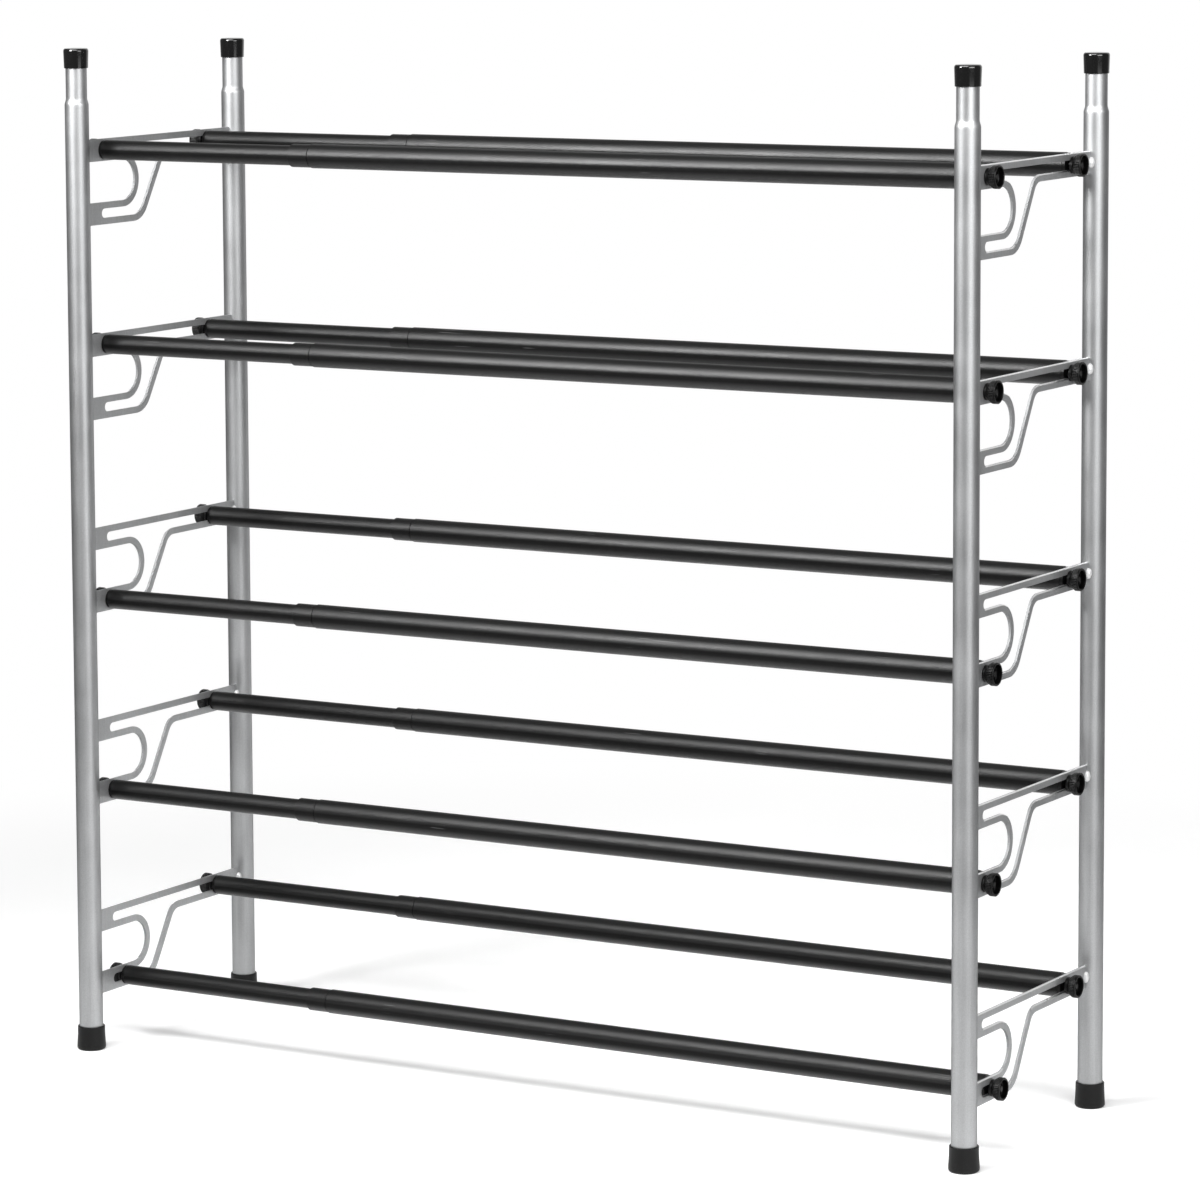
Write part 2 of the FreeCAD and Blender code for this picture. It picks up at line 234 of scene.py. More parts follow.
def silver_coat(name, tone, roughness, metallic, glancing):
    """Silver powder coat, sprayed and baked."""
    # Aluminium flake in a satin film: a soft metallic sheen with a faint sparkle, darker where it is
    # seen at a glancing angle, faint upright streaks from the spray booth's hangers, and the slight
    # orange peel of a baked coat. The flake is drawn at 0.9 mm so that it shows.
    material, tree = new_material(name)
    place = add_node(tree, "ShaderNodeTexCoord").outputs["Object"]
    flake = add_node(tree, "ShaderNodeTexNoise", {"Vector": place, "Scale": per_metre(0.9), "Detail": 2.0})
    cloud = add_node(tree, "ShaderNodeTexNoise", {"Vector": place, "Scale": per_metre(45.0), "Detail": 3.0})
    peel = add_node(tree, "ShaderNodeTexNoise", {"Vector": place, "Scale": per_metre(2.6), "Detail": 1.0})
    upright = add_node(tree, "ShaderNodeMapping", {"Vector": place, "Scale": (1.0, 1.0, 0.03)})
    streak = add_node(tree, "ShaderNodeTexNoise", {"Vector": upright.outputs["Vector"],
                                                   "Scale": per_metre(2.0), "Detail": 2.0})
    mottle = add_node(tree, "ShaderNodeMath", {0: flake.outputs["Fac"], 1: 0.45}, operation="MULTIPLY")
    mottle = add_node(tree, "ShaderNodeMath", {0: cloud.outputs["Fac"], 1: 0.3, 2: mottle.outputs[0]},
                      operation="MULTIPLY_ADD")
    mottle = add_node(tree, "ShaderNodeMath", {0: streak.outputs["Fac"], 1: 0.25, 2: mottle.outputs[0]},
                      operation="MULTIPLY_ADD")
    ramp = add_node(tree, "ShaderNodeValToRGB", {"Fac": mottle.outputs[0]})
    ramp.color_ramp.elements[0].position = 0.3
    ramp.color_ramp.elements[0].color = opaque([c * 0.84 for c in tone])
    ramp.color_ramp.elements[1].position = 0.7
    ramp.color_ramp.elements[1].color = opaque([min(1.0, c * 1.16) for c in tone])
    rough = add_node(tree, "ShaderNodeMapRange", {"Value": cloud.outputs["Fac"], "From Min": 0.3,
                                                  "From Max": 0.7, "To Min": roughness - 0.04,
                                                  "To Max": roughness + 0.04})
    bump = add_node(tree, "ShaderNodeBump", {"Height": peel.outputs["Fac"], "Strength": 0.12,
                                             "Distance": 0.05 * MM})
    shader = add_node(tree, "ShaderNodeBsdfPrincipled",
                      {"Base Color": ramp.outputs["Color"], "Metallic": metallic,
                       "Roughness": rough.outputs["Result"], "Specular Tint": opaque([glancing] * 3),
                       "Normal": bump.outputs["Normal"]})
    add_node(tree, "ShaderNodeOutputMaterial", {"Surface": shader.outputs["BSDF"]})
    return material


def post_coat(colours):
    """The fullest sheen, round the posts."""
    return silver_coat("Silver powder-coated steel tube, sprayed and baked", colours.silver,
                       roughness=0.46, metallic=1.0, glancing=0.15)


def plate_coat(colours):
    """Duller than on the posts, more like paint, over the plate's mill scale."""
    return silver_coat("Silver powder-coated steel plate, sprayed and baked", colours.silver,
                       roughness=0.5, metallic=0.85, glancing=0.15)


def painted_highlight_edge_coat(colours):
    """Near-white silver on the plates' rounded upper edges: a painted highlight where the light falls on
    them.
    """
    return silver_coat("Silver powder coat over a punched edge, thin", colours.edge,
                       roughness=0.3, metallic=1.0, glancing=1.0)


def painted_shade_wall_coat(colours):
    """Darker, duller silver on the punched walls: painted shade standing in for the shade that the walls
    show.
    """
    return silver_coat("Silver powder coat over a sheared wall, thin", colours.wall,
                       roughness=0.6, metallic=0.3, glancing=0.15)


def painted_highlight_bead_coat(colours):
    """The silver coat over a rippled weld bead, painted near white as a highlight."""
    # The near-white colour stands in for the highlight that the ripples catch, a painted highlight, and the
    # bead is a little glossier than the plates.
    material, tree = new_material("Silver powder-coated weld bead, as welded")
    place = add_node(tree, "ShaderNodeTexCoord").outputs["Object"]
    grain = add_node(tree, "ShaderNodeTexNoise", {"Vector": place, "Scale": per_metre(0.8), "Detail": 3.0})
    ramp = add_node(tree, "ShaderNodeValToRGB", {"Fac": grain.outputs["Fac"]})
    ramp.color_ramp.elements[0].color = opaque([c * 0.8 for c in colours.bead])
    ramp.color_ramp.elements[1].color = opaque(colours.bead)
    bump = add_node(tree, "ShaderNodeBump", {"Height": grain.outputs["Fac"], "Strength": 0.2,
                                             "Distance": 0.1 * MM})
    shader = add_node(tree, "ShaderNodeBsdfPrincipled",
                      {"Base Color": ramp.outputs["Color"], "Metallic": 0.3, "Roughness": 0.34,
                       "Normal": bump.outputs["Normal"]})
    add_node(tree, "ShaderNodeOutputMaterial", {"Surface": shader.outputs["BSDF"]})
    return material


def sandy_black(name, colours, scuffs):
    """Black with a fine sandy texture."""
    # The sand scatters the highlight into a soft band and dulls the gloss at the edges, because the
    # grains hide one another there. The floor shows faintly in the lower side. Shoes have rubbed the
    # upper side smoother and left a few faint scuffs. The sand is drawn at 1 mm so that it shows.
    material, tree = new_material(name)
    place = add_node(tree, "ShaderNodeTexCoord").outputs["Object"]
    sand = add_node(tree, "ShaderNodeTexNoise", {"Vector": place, "Scale": per_metre(1.0), "Detail": 3.0,
                                                 "Roughness": 0.6})
    cloud = add_node(tree, "ShaderNodeTexNoise", {"Vector": place, "Scale": per_metre(60.0), "Detail": 2.0})
    along = add_node(tree, "ShaderNodeMapping", {"Vector": place, "Scale": (0.02, 1.0, 1.0)})
    streak = add_node(tree, "ShaderNodeTexNoise", {"Vector": along.outputs["Vector"],
                                                   "Scale": per_metre(1.1), "Detail": 1.0})
    patch = add_node(tree, "ShaderNodeTexNoise", {"Vector": place, "Scale": per_metre(34.0), "Detail": 0.0})
    thin = add_node(tree, "ShaderNodeMapRange", {"Value": streak.outputs["Fac"], "From Min": 0.68,
                                                 "From Max": 0.76, "To Max": scuffs})
    rare = add_node(tree, "ShaderNodeMapRange", {"Value": patch.outputs["Fac"], "From Min": 0.66,
                                                 "From Max": 0.72})
    scuff = add_node(tree, "ShaderNodeMath", {0: thin.outputs["Result"], 1: rare.outputs["Result"]},
                     operation="MULTIPLY")
    ramp = add_node(tree, "ShaderNodeValToRGB", {"Fac": sand.outputs["Fac"]})
    ramp.color_ramp.elements[0].position = 0.3
    ramp.color_ramp.elements[0].color = opaque([c * 0.6 for c in colours.rod])
    ramp.color_ramp.elements[1].position = 0.7
    ramp.color_ramp.elements[1].color = opaque([c * 1.4 for c in colours.rod])
    worn = add_node(tree, "ShaderNodeMix", {"Factor": scuff.outputs[0], "A": ramp.outputs["Color"],
                                            "B": opaque(colours.scuff)}, data_type="RGBA")
    rough = add_node(tree, "ShaderNodeMapRange", {"Value": cloud.outputs["Fac"], "From Min": 0.3,
                                                  "From Max": 0.7, "To Min": 0.38, "To Max": 0.44})
    normal = add_node(tree, "ShaderNodeNewGeometry").outputs["Normal"]
    upward = add_node(tree, "ShaderNodeSeparateXYZ", {"Vector": normal}).outputs["Z"]
    below = add_node(tree, "ShaderNodeMapRange", {"Value": upward, "From Min": -0.9, "From Max": -0.25,
                                                  "To Min": 0.8, "To Max": 0.12})
    above = add_node(tree, "ShaderNodeMapRange", {"Value": upward, "From Min": 0.0, "From Max": 0.15})
    facing = add_node(tree, "ShaderNodeLayerWeight", {"Blend": 0.5}).outputs["Facing"]
    rubbed = add_node(tree, "ShaderNodeMapRange", {"Value": facing, "From Min": 0.12, "From Max": 0.5,
                                                   "To Min": 0.44, "To Max": 0.06})
    shine = add_node(tree, "ShaderNodeMix", {"Factor": above.outputs["Result"],
                                             "A": below.outputs["Result"], "B": rubbed.outputs["Result"]})
    bump = add_node(tree, "ShaderNodeBump", {"Height": sand.outputs["Fac"], "Strength": 1.0,
                                             "Distance": 0.15 * MM})
    shader = add_node(tree, "ShaderNodeBsdfPrincipled",
                      {"Base Color": worn.outputs["Result"], "Roughness": rough.outputs["Result"],
                       "Specular IOR Level": shine.outputs["Result"], "Normal": bump.outputs["Normal"]})
    add_node(tree, "ShaderNodeOutputMaterial", {"Surface": shader.outputs["BSDF"]})
    return material


def black_powder_coat(colours):
    """The tubes' coat, with its scuffs."""
    return sandy_black("Black powder-coated steel, fine texture", colours, scuffs=1.0)


def grained_nylon(colours):
    """The collars, grained like the tubes and not scuffed."""
    return sandy_black("Black nylon, moulded with a sandy grain", colours, scuffs=0.0)


def nylon(name, tone):
    """Black nylon, moulded."""
    # A low even sheen with the faint mottling of a spark-eroded mould.
    material, tree = new_material(name)
    place = add_node(tree, "ShaderNodeTexCoord").outputs["Object"]
    erosion = add_node(tree, "ShaderNodeTexNoise", {"Vector": place, "Scale": per_metre(0.5),
                                                    "Detail": 2.0})
    cloud = add_node(tree, "ShaderNodeTexNoise", {"Vector": place, "Scale": per_metre(9.0), "Detail": 2.0})
    ramp = add_node(tree, "ShaderNodeValToRGB", {"Fac": cloud.outputs["Fac"]})
    ramp.color_ramp.elements[0].position = 0.3
    ramp.color_ramp.elements[0].color = opaque([c * 0.8 for c in tone])
    ramp.color_ramp.elements[1].position = 0.7
    ramp.color_ramp.elements[1].color = opaque([c * 1.25 for c in tone])
    rough = add_node(tree, "ShaderNodeMapRange", {"Value": cloud.outputs["Fac"], "From Min": 0.3,
                                                  "From Max": 0.7, "To Min": 0.3, "To Max": 0.38})
    bump = add_node(tree, "ShaderNodeBump", {"Height": erosion.outputs["Fac"], "Strength": 0.15,
                                             "Distance": 0.05 * MM})
    shader = add_node(tree, "ShaderNodeBsdfPrincipled",
                      {"Base Color": ramp.outputs["Color"], "Roughness": rough.outputs["Result"],
                       "Specular IOR Level": 0.2, "Normal": bump.outputs["Normal"]})
    add_node(tree, "ShaderNodeOutputMaterial", {"Surface": shader.outputs["BSDF"]})
    return material


def moulded_nylon(colours):
    """The knobs and the end plugs."""
    return nylon("Black nylon, moulded", colours.plastic)


def painted_highlight_nylon(colours):
    """Greyer on the ribs' crests, a painted highlight for the light that the ribs catch."""
    return nylon("Black nylon, moulded and rubbed", colours.scuff)


def glossy_abs(colours):
    """Black ABS, moulded in a polished mould: the caps."""
    # Sharp window-like highlights, barely broken by the slow waviness of a thin moulding.
    material, tree = new_material("Black ABS, moulded and polished")
    place = add_node(tree, "ShaderNodeTexCoord").outputs["Object"]
    wave = add_node(tree, "ShaderNodeTexNoise", {"Vector": place, "Scale": per_metre(7.0), "Detail": 1.0})
    haze = add_node(tree, "ShaderNodeTexNoise", {"Vector": place, "Scale": per_metre(2.0), "Detail": 3.0})
    ramp = add_node(tree, "ShaderNodeValToRGB", {"Fac": wave.outputs["Fac"]})
    ramp.color_ramp.elements[0].color = opaque([c * 0.8 for c in colours.cap])
    ramp.color_ramp.elements[1].color = opaque([c * 1.2 for c in colours.cap])
    rough = add_node(tree, "ShaderNodeMapRange", {"Value": haze.outputs["Fac"], "From Min": 0.3,
                                                  "From Max": 0.7, "To Min": 0.1, "To Max": 0.16})
    bump = add_node(tree, "ShaderNodeBump", {"Height": wave.outputs["Fac"], "Strength": 0.1,
                                             "Distance": 0.05 * MM})
    shader = add_node(tree, "ShaderNodeBsdfPrincipled",
                      {"Base Color": ramp.outputs["Color"], "Roughness": rough.outputs["Result"],
                       "IOR": 1.6, "Normal": bump.outputs["Normal"]})
    add_node(tree, "ShaderNodeOutputMaterial", {"Surface": shader.outputs["BSDF"]})
    return material


def moulded_rubber(colours):
    """Black rubber, moulded: the feet."""
    # Dull and slightly grey, with pale dust that gathers towards the floor.
    material, tree = new_material("Black rubber, moulded")
    place = add_node(tree, "ShaderNodeTexCoord").outputs["Object"]
    speck = add_node(tree, "ShaderNodeTexNoise", {"Vector": place, "Scale": per_metre(1.2), "Detail": 4.0})
    height = add_node(tree, "ShaderNodeSeparateXYZ", {"Vector": place}).outputs["Z"]
    low = add_node(tree, "ShaderNodeMapRange", {"Value": height, "From Min": 0.0, "From Max": 14 * MM,
                                                "To Min": 0.6, "To Max": 0.15})
    dust = add_node(tree, "ShaderNodeMapRange", {"Value": speck.outputs["Fac"], "From Min": 0.42,
                                                 "From Max": 0.75})
    dust = add_node(tree, "ShaderNodeMath", {0: dust.outputs["Result"], 1: low.outputs["Result"]},
                    operation="MULTIPLY")
    skin = add_node(tree, "ShaderNodeMix", {"Factor": dust.outputs[0], "A": opaque(colours.rubber),
                                            "B": opaque(colours.dust)}, data_type="RGBA")
    bump = add_node(tree, "ShaderNodeBump", {"Height": speck.outputs["Fac"], "Strength": 0.2,
                                             "Distance": 0.1 * MM})
    shader = add_node(tree, "ShaderNodeBsdfPrincipled",
                      {"Base Color": skin.outputs["Result"], "Roughness": 0.5, "Specular IOR Level": 0.3,
                       "Normal": bump.outputs["Normal"]})
    add_node(tree, "ShaderNodeOutputMaterial", {"Surface": shader.outputs["BSDF"]})
    return material


FINISHES = {}


def finish_of(maker):
    """A finish's material, made the first time that a piece asks for it."""
    if maker not in FINISHES:
        FINISHES[maker] = maker(bpy.context.scene.rack_colours)
    return FINISHES[maker]


def start_piece(name, sides, radius, height):
    """A ring on the Z axis, alone selected, in edit mode."""
    bpy.ops.object.select_all(action="DESELECT")
    bpy.ops.mesh.primitive_circle_add(vertices=sides, radius=radius, location=(0, 0, 0))
    piece = bpy.context.object
    piece.name = name
    piece.data.name = name
    bpy.ops.object.mode_set(mode="EDIT")
    bpy.ops.mesh.select_mode(type="EDGE")
    bpy.ops.mesh.select_all(action="SELECT")
    bpy.ops.transform.translate(value=(0, 0, height))
    return piece


def turned(name, profile, sides):
    """A piece turned about Z: a ring is extruded and resized along its closed (radius, height) profile.

    A profile that starts or ends on the axis is closed there with a face."""
    rings = [point for point in profile if point[0] > 0]
    piece = start_piece(name, sides, *rings[0])
    if len(rings) < len(profile):
        bpy.ops.mesh.edge_face_add()
    else:
        rings.append(rings[0])
    last_radius, last_height = rings[0]
    for radius, height in rings[1:]:
        bpy.ops.mesh.extrude_region_move(TRANSFORM_OT_translate={"value": (0, 0, height - last_height)})
        bpy.ops.transform.resize(value=(radius / last_radius, radius / last_radius, 1))
        last_radius, last_height = radius, height
    bpy.ops.mesh.select_all(action="SELECT")
    bpy.ops.mesh.remove_doubles(threshold=MERGE_GAP)
    bpy.ops.mesh.normals_make_consistent(inside=False)
    bpy.ops.object.mode_set(mode="OBJECT")
    return piece


def shares(steps):
    """Even shares of a stretch, from 0 to 1."""
    return [i / steps for i in range(steps + 1)]


def soften(piece, radius, segments=3, weighted=False, finish=-1):
    """Rounds a piece's sharp edges, or its weighted ones, and smooths what is left.

    The flat faces are kept flat. The finish is the rounding's material slot."""
    bpy.ops.object.select_all(action="DESELECT")
    piece.select_set(True)
    bpy.context.view_layer.objects.active = piece
    bpy.ops.object.modifier_add(type="BEVEL")
    bevel = piece.modifiers[-1]
    bevel.width = radius
    bevel.segments = segments
    bevel.limit_method = "WEIGHT" if weighted else "ANGLE"
    bevel.use_clamp_overlap = not weighted
    bevel.angle_limit = SHARP_ANGLE
    bevel.material = finish
    bpy.ops.object.modifier_apply(modifier=bevel.name)
    bpy.ops.object.shade_smooth_by_angle(angle=SMOOTH_ANGLE)
    bpy.ops.object.modifier_add(type="WEIGHTED_NORMAL")
    piece.modifiers[-1].keep_sharp = True
    bpy.ops.object.modifier_apply(modifier=piece.modifiers[-1].name)
    return piece


def twin(pattern, name):
    """A copy of a modelled piece, with its own mesh."""
    copy = pattern.copy()
    copy.data = pattern.data.copy()
    copy.name = name
    copy.data.name = name
    bpy.context.scene.collection.objects.link(copy)
    return copy


def drop(*patterns):
    """Takes away the piece that copies were made from."""
    for pattern in patterns:
        bpy.data.objects.remove(pattern)


def across(sign, middle, x):
    """Lays a piece that was turned about Z along X, pointing outward on its side."""
    return Matrix.Translation((x, middle.y, middle.z)) @ Matrix.Rotation(sign * math.pi / 2, 4, "Y")


def dress(piece, finishes, body, slot, *nodes):
    """Gives a piece its finishes and its body, and hides the nodes that it stands for."""
    for finish in finishes:
        piece.data.materials.append(finish_of(finish))
    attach(piece, body)
    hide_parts(*nodes)


def middle_of(node):
    """The middle of a node's box."""
    low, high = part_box(node)
    return (low + high) / 2


def on_posts(pattern, name, finish, slot, node):
    """Copies a piece to the four posts. Its name and its node's name hold the row and the side."""
    for side in SIDES:
        for row in ROWS:
            place = middle_of(f"post_{row}_{side}")
            piece = twin(pattern, name.format(row=row, side=side))
            piece.data.transform(Matrix.Translation((place.x, place.y, 0)))
            dress(piece, (finish,), f"{side}_frame", slot, node.format(row=row, side=side))
    drop(pattern)


def joined(pieces, name):
    """One object of several solids."""
    bpy.ops.object.select_all(action="DESELECT")
    for piece in pieces:
        piece.select_set(True)
    bpy.context.view_layer.objects.active = pieces[0]
    bpy.ops.object.join()
    pieces[0].name = name
    pieces[0].data.name = name
    return pieces[0]


class RACK_OT_posts(bpy.types.Operator):
    """Four tube posts whose tops are swaged down to spigots"""
    bl_idname = "rack.posts"
    bl_label = "Posts"

    def execute(self, context):
        sizes = context.scene.rack_sizes
        low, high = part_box("post_front_left")
        radius = (high.x - low.x) / 2
        spigot = sizes.spigot_diameter / 2
        step_top = high.z - sizes.spigot_length
        outside = [(radius, low.z), (radius, step_top - sizes.swage - sizes.swage_lead)]
        for share in shares(8):
            ease = share * share * (3 - 2 * share)
            outside.append((radius + (spigot - radius) * ease, step_top - sizes.swage * (1 - share)))
        outside += [(spigot, step_top + sizes.swage_lead), (spigot, high.z)]
        inside = [(r - sizes.post_wall, z) for r, z in reversed(outside)]
        pattern = turned("post", outside + inside, ROUND_SIDES)
        bpy.ops.object.shade_smooth_by_angle(angle=SMOOTH_ANGLE)
        on_posts(pattern, "tube_post_{row}_{side}", post_coat, "silver_steel", "post_{row}_{side}")
        return {"FINISHED"}


class RACK_OT_brackets(bpy.types.Operator):
    """Punched plates, rounded along the upper edges of their outer faces"""
    bl_idname = "rack.brackets"
    bl_label = "Brackets"

    def execute(self, context):
        sizes = context.scene.rack_sizes
        for side, sign in SIDES.items():
            node = f"{side}_brackets"
            piece = bpy.data.objects.new(f"plates_{side}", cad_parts[node].data.copy())
            context.scene.collection.objects.link(piece)
            mesh = piece.data
            mesh.materials.clear()
            bpy.ops.object.select_all(action="DESELECT")
            piece.select_set(True)
            context.view_layer.objects.active = piece
            bpy.ops.mesh.customdata_custom_splitnormals_clear()
            bpy.ops.object.mode_set(mode="EDIT")
            bpy.ops.mesh.select_mode(type="EDGE")
            bpy.ops.mesh.select_all(action="SELECT")
            bpy.ops.mesh.remove_doubles(threshold=CAD_MERGE_GAP)
            bpy.ops.mesh.dissolve_limited(angle_limit=FLAT_ANGLE)
            bpy.ops.mesh.select_all(action="DESELECT")
            bpy.ops.mesh.edges_select_sharp(sharpness=SHARP_ANGLE)
            bpy.ops.object.mode_set(mode="OBJECT")
            low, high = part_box(node)
            middle = (low.x + high.x) / 2
            upper = set()
            # Outer edges of faces that look up get the near-white painted highlight; punched walls get the
            # darker painted shade.
            for face in mesh.polygons:
                if face.normal.z > FACE_UP:
                    upper.update(face.edge_keys)
                elif abs(face.normal.x) < FACE_OUT:
                    face.material_index = PAINTED_SHADE_WALL_FINISH
            weight = mesh.attributes.new("bevel_weight_edge", "FLOAT", "EDGE")
            for edge in mesh.edges:
                outer = all(sign * (mesh.vertices[end].co.x - middle) > 0 for end in edge.vertices)
                if edge.select and outer and edge.key in upper:
                    weight.data[edge.index].value = 1.0
            dress(piece, (plate_coat, painted_highlight_edge_coat, painted_shade_wall_coat), f"{side}_frame", "silver_steel", node)
            soften(piece, sizes.plate_edge, segments=4, weighted=True, finish=PAINTED_HIGHLIGHT_EDGE_FINISH)
        return {"FINISHED"}


class RACK_OT_welds(bpy.types.Operator):
    """Weld beads that hold the plates to the posts: both faces at the rear, the outer one in front"""
    bl_idname = "rack.welds"
    bl_label = "Weld beads"

    def execute(self, context):
        sizes = context.scene.rack_sizes
        half = sizes.bead_length / 2
        profile = [(0, -half)]
        for part in shares(18)[1:-1]:
            share = -math.cos(part * math.pi)
            ripple = 1 + sizes.bead_ripple * math.cos(share * BEAD_RIPPLES * math.pi)
            profile.append((sizes.bead_width / 2 * math.sqrt(1 - share * share) * ripple, share * half))
        profile.append((0, half))
        pattern = turned("bead", profile, BEAD_SIDES)
        bpy.ops.object.shade_smooth()
        drop_to_slot = middle_of("outer_tube_rear_2").z - middle_of("outer_tube_front_2").z
        for side, sign in SIDES.items():
            low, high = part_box(f"{side}_brackets")
            beads = []
            for tier in TIERS:
                track = middle_of(f"outer_tube_rear_{tier}").z
                ends = [(high.y, track), (low.y, track - sizes.bead_drop), (low.y, track - drop_to_slot)]
                for y, z in ends:
                    inward = -1 if y > 0 else 1
                    for x, outward in ((low.x, -1), (high.x, 1)):
                        if y < 0 and outward != sign:
                            continue
                        bead = twin(pattern, "bead_copy")
                        bead.data.transform(Matrix.Translation(
                            (x + outward * sizes.bead_rise, y + inward * sizes.bead_reach, z)))
                        beads.append(bead)
            piece = joined(beads, f"welds_{side}")
            piece.data.materials.append(finish_of(painted_highlight_bead_coat))
            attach(piece, f"{side}_frame")
        drop(pattern)
        return {"FINISHED"}


class RACK_OT_caps(bpy.types.Operator):
    """Glossy caps on the spigots"""
    bl_idname = "rack.caps"
    bl_label = "Caps"

    def execute(self, context):
        sizes = context.scene.rack_sizes
        low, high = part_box("left_caps")
        post_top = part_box("post_front_left")[1].z
        bore = sizes.spigot_diameter / 2 + PRESS_FIT
        upper = middle_of("post_front_left").x - low.x
        lip = sizes.cap_lower / 2
        brim = high.z - sizes.cap_dome
        shoulder = brim - sizes.cap_shoulder
        edge = FINE_EDGE
        profile = [(0, post_top), (bore, post_top), (bore, low.z + edge), (bore + edge, low.z),
                   (lip - edge, low.z), (lip, low.z + edge)]
        for share in shares(12):
            turn = share * math.pi / 2
            profile.append((upper - sizes.cap_round * (1 - math.cos(turn)),
                            shoulder + sizes.cap_shoulder * math.sin(turn)))
        for share in shares(12)[1:-1]:
            profile.append(((upper - sizes.cap_round) * (1 - share),
                            brim + sizes.cap_dome * share * (2 - share)))
        profile.append((0, high.z))
        pattern = turned("cap", profile, ROUND_SIDES)
        bpy.ops.object.shade_smooth_by_angle(angle=SMOOTH_ANGLE)
        on_posts(pattern, "cap_{row}_{side}", glossy_abs, "cap_plastic", "{side}_caps")
        return {"FINISHED"}


class RACK_OT_feet(bpy.types.Operator):
    """Rubber feet, wider at the floor"""
    bl_idname = "rack.feet"
    bl_label = "Feet"

    def execute(self, context):
        sizes = context.scene.rack_sizes
        low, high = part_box("left_feet")
        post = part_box("post_front_left")
        bore = (post[1].x - post[0].x) / 2 + PRESS_FIT
        flare = middle_of("post_front_left").x - low.x
        upper = sizes.foot_diameter / 2
        edge = sizes.foot_edge
        profile = [(0, sizes.foot_floor), (bore, sizes.foot_floor), (bore, high.z), (upper, high.z)]
        for share in shares(8)[1:]:
            profile.append((upper + (flare - upper) * share * share,
                            high.z + (sizes.foot_flare - high.z) * share))
        for share in shares(4):
            turn = share * math.pi / 2
            profile.append((flare - edge * (1 - math.cos(turn)), edge * (1 - math.sin(turn))))
        profile.append((0, 0))
        pattern = soften(turned("foot", profile, ROUND_SIDES), sizes.foot_round)
        on_posts(pattern, "foot_{row}_{side}", moulded_rubber, "foot_rubber", "{side}_feet")
        return {"FINISHED"}


class RACK_OT_rods(bpy.types.Operator):
    """Telescopic rods: outer and inner tubes, their end plugs and the collars between them"""
    bl_idname = "rack.rods"
    bl_label = "Rods"

    def execute(self, context):
        sizes = context.scene.rack_sizes
        shank = sizes.shank / 2 + RUNNING_FIT
        patterns = {}
        for half in ("outer", "inner"):
            low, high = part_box(f"{half}_tube_front_5")
            radius = (high.z - low.z) / 2
            bore = radius - sizes.tube_wall
            run = high.x - low.x
            tube_end = run - sizes.plug_flange
            tube = [(radius, 0), (radius, tube_end), (bore, tube_end), (bore, 0)]
            patterns[half] = soften(turned(f"{half}_tube", tube, ROD_SIDES), sizes.tube_edge)
            rim = radius - sizes.plug_step
            insert = bore - PRESS_FIT
            plug = [(shank, run), (rim, run), (rim, tube_end), (insert, tube_end),
                    (insert, tube_end - sizes.plug_insert), (shank, tube_end - sizes.plug_insert)]
            patterns[f"{half}_plug"] = soften(turned(f"{half}_plug", plug, ROD_SIDES), sizes.plug_edge)
        low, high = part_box("collar_front_5")
        inner_low, inner_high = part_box("inner_tube_front_5")
        outer_low, outer_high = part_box("outer_tube_front_5")
        ring = (high.z - low.z) / 2
        bore = (inner_high.z - inner_low.z) / 2 + RUNNING_FIT
        sleeve = (outer_high.z - outer_low.z) / 2 - sizes.tube_wall - PRESS_FIT
        mouth = outer_low.x - low.x
        neck = sleeve - sizes.collar_groove
        collar = [(bore, 0), (ring, 0), (ring, sizes.collar_ring), (neck, sizes.collar_ring), (neck, mouth),
                  (sleeve, mouth), (sleeve, high.x - low.x), (bore, high.x - low.x)]
        patterns["collar"] = soften(turned("collar", collar, ROD_SIDES), sizes.collar_edge)
        for row in ROWS:
            for tier in TIERS:
                tag = f"{row}_{tier}"
                for half, sign in (("outer", 1), ("inner", -1)):
                    node = f"{half}_tube_{tag}"
                    low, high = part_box(node)
                    start = low.x if sign > 0 else high.x
                    place = across(sign, middle_of(node), start)
                    tube = twin(patterns[half], f"rod_{half}_{tag}")
                    tube.data.transform(place)
                    dress(tube, (black_powder_coat,), f"{half}_rod_{tag}", "black_steel", node)
                    plug = twin(patterns[f"{half}_plug"], f"plug_{half}_{tag}")
                    plug.data.transform(place)
                    dress(plug, (moulded_nylon,), f"{half}_rod_{tag}", "black_plastic", node)
                node = f"collar_{tag}"
                piece = twin(patterns["collar"], f"bush_{tag}")
                piece.data.transform(across(1, middle_of(node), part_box(node)[0].x))
                dress(piece, (grained_nylon,), f"outer_rod_{tag}", "black_plastic", node)
        drop(*patterns.values())
        return {"FINISHED"}


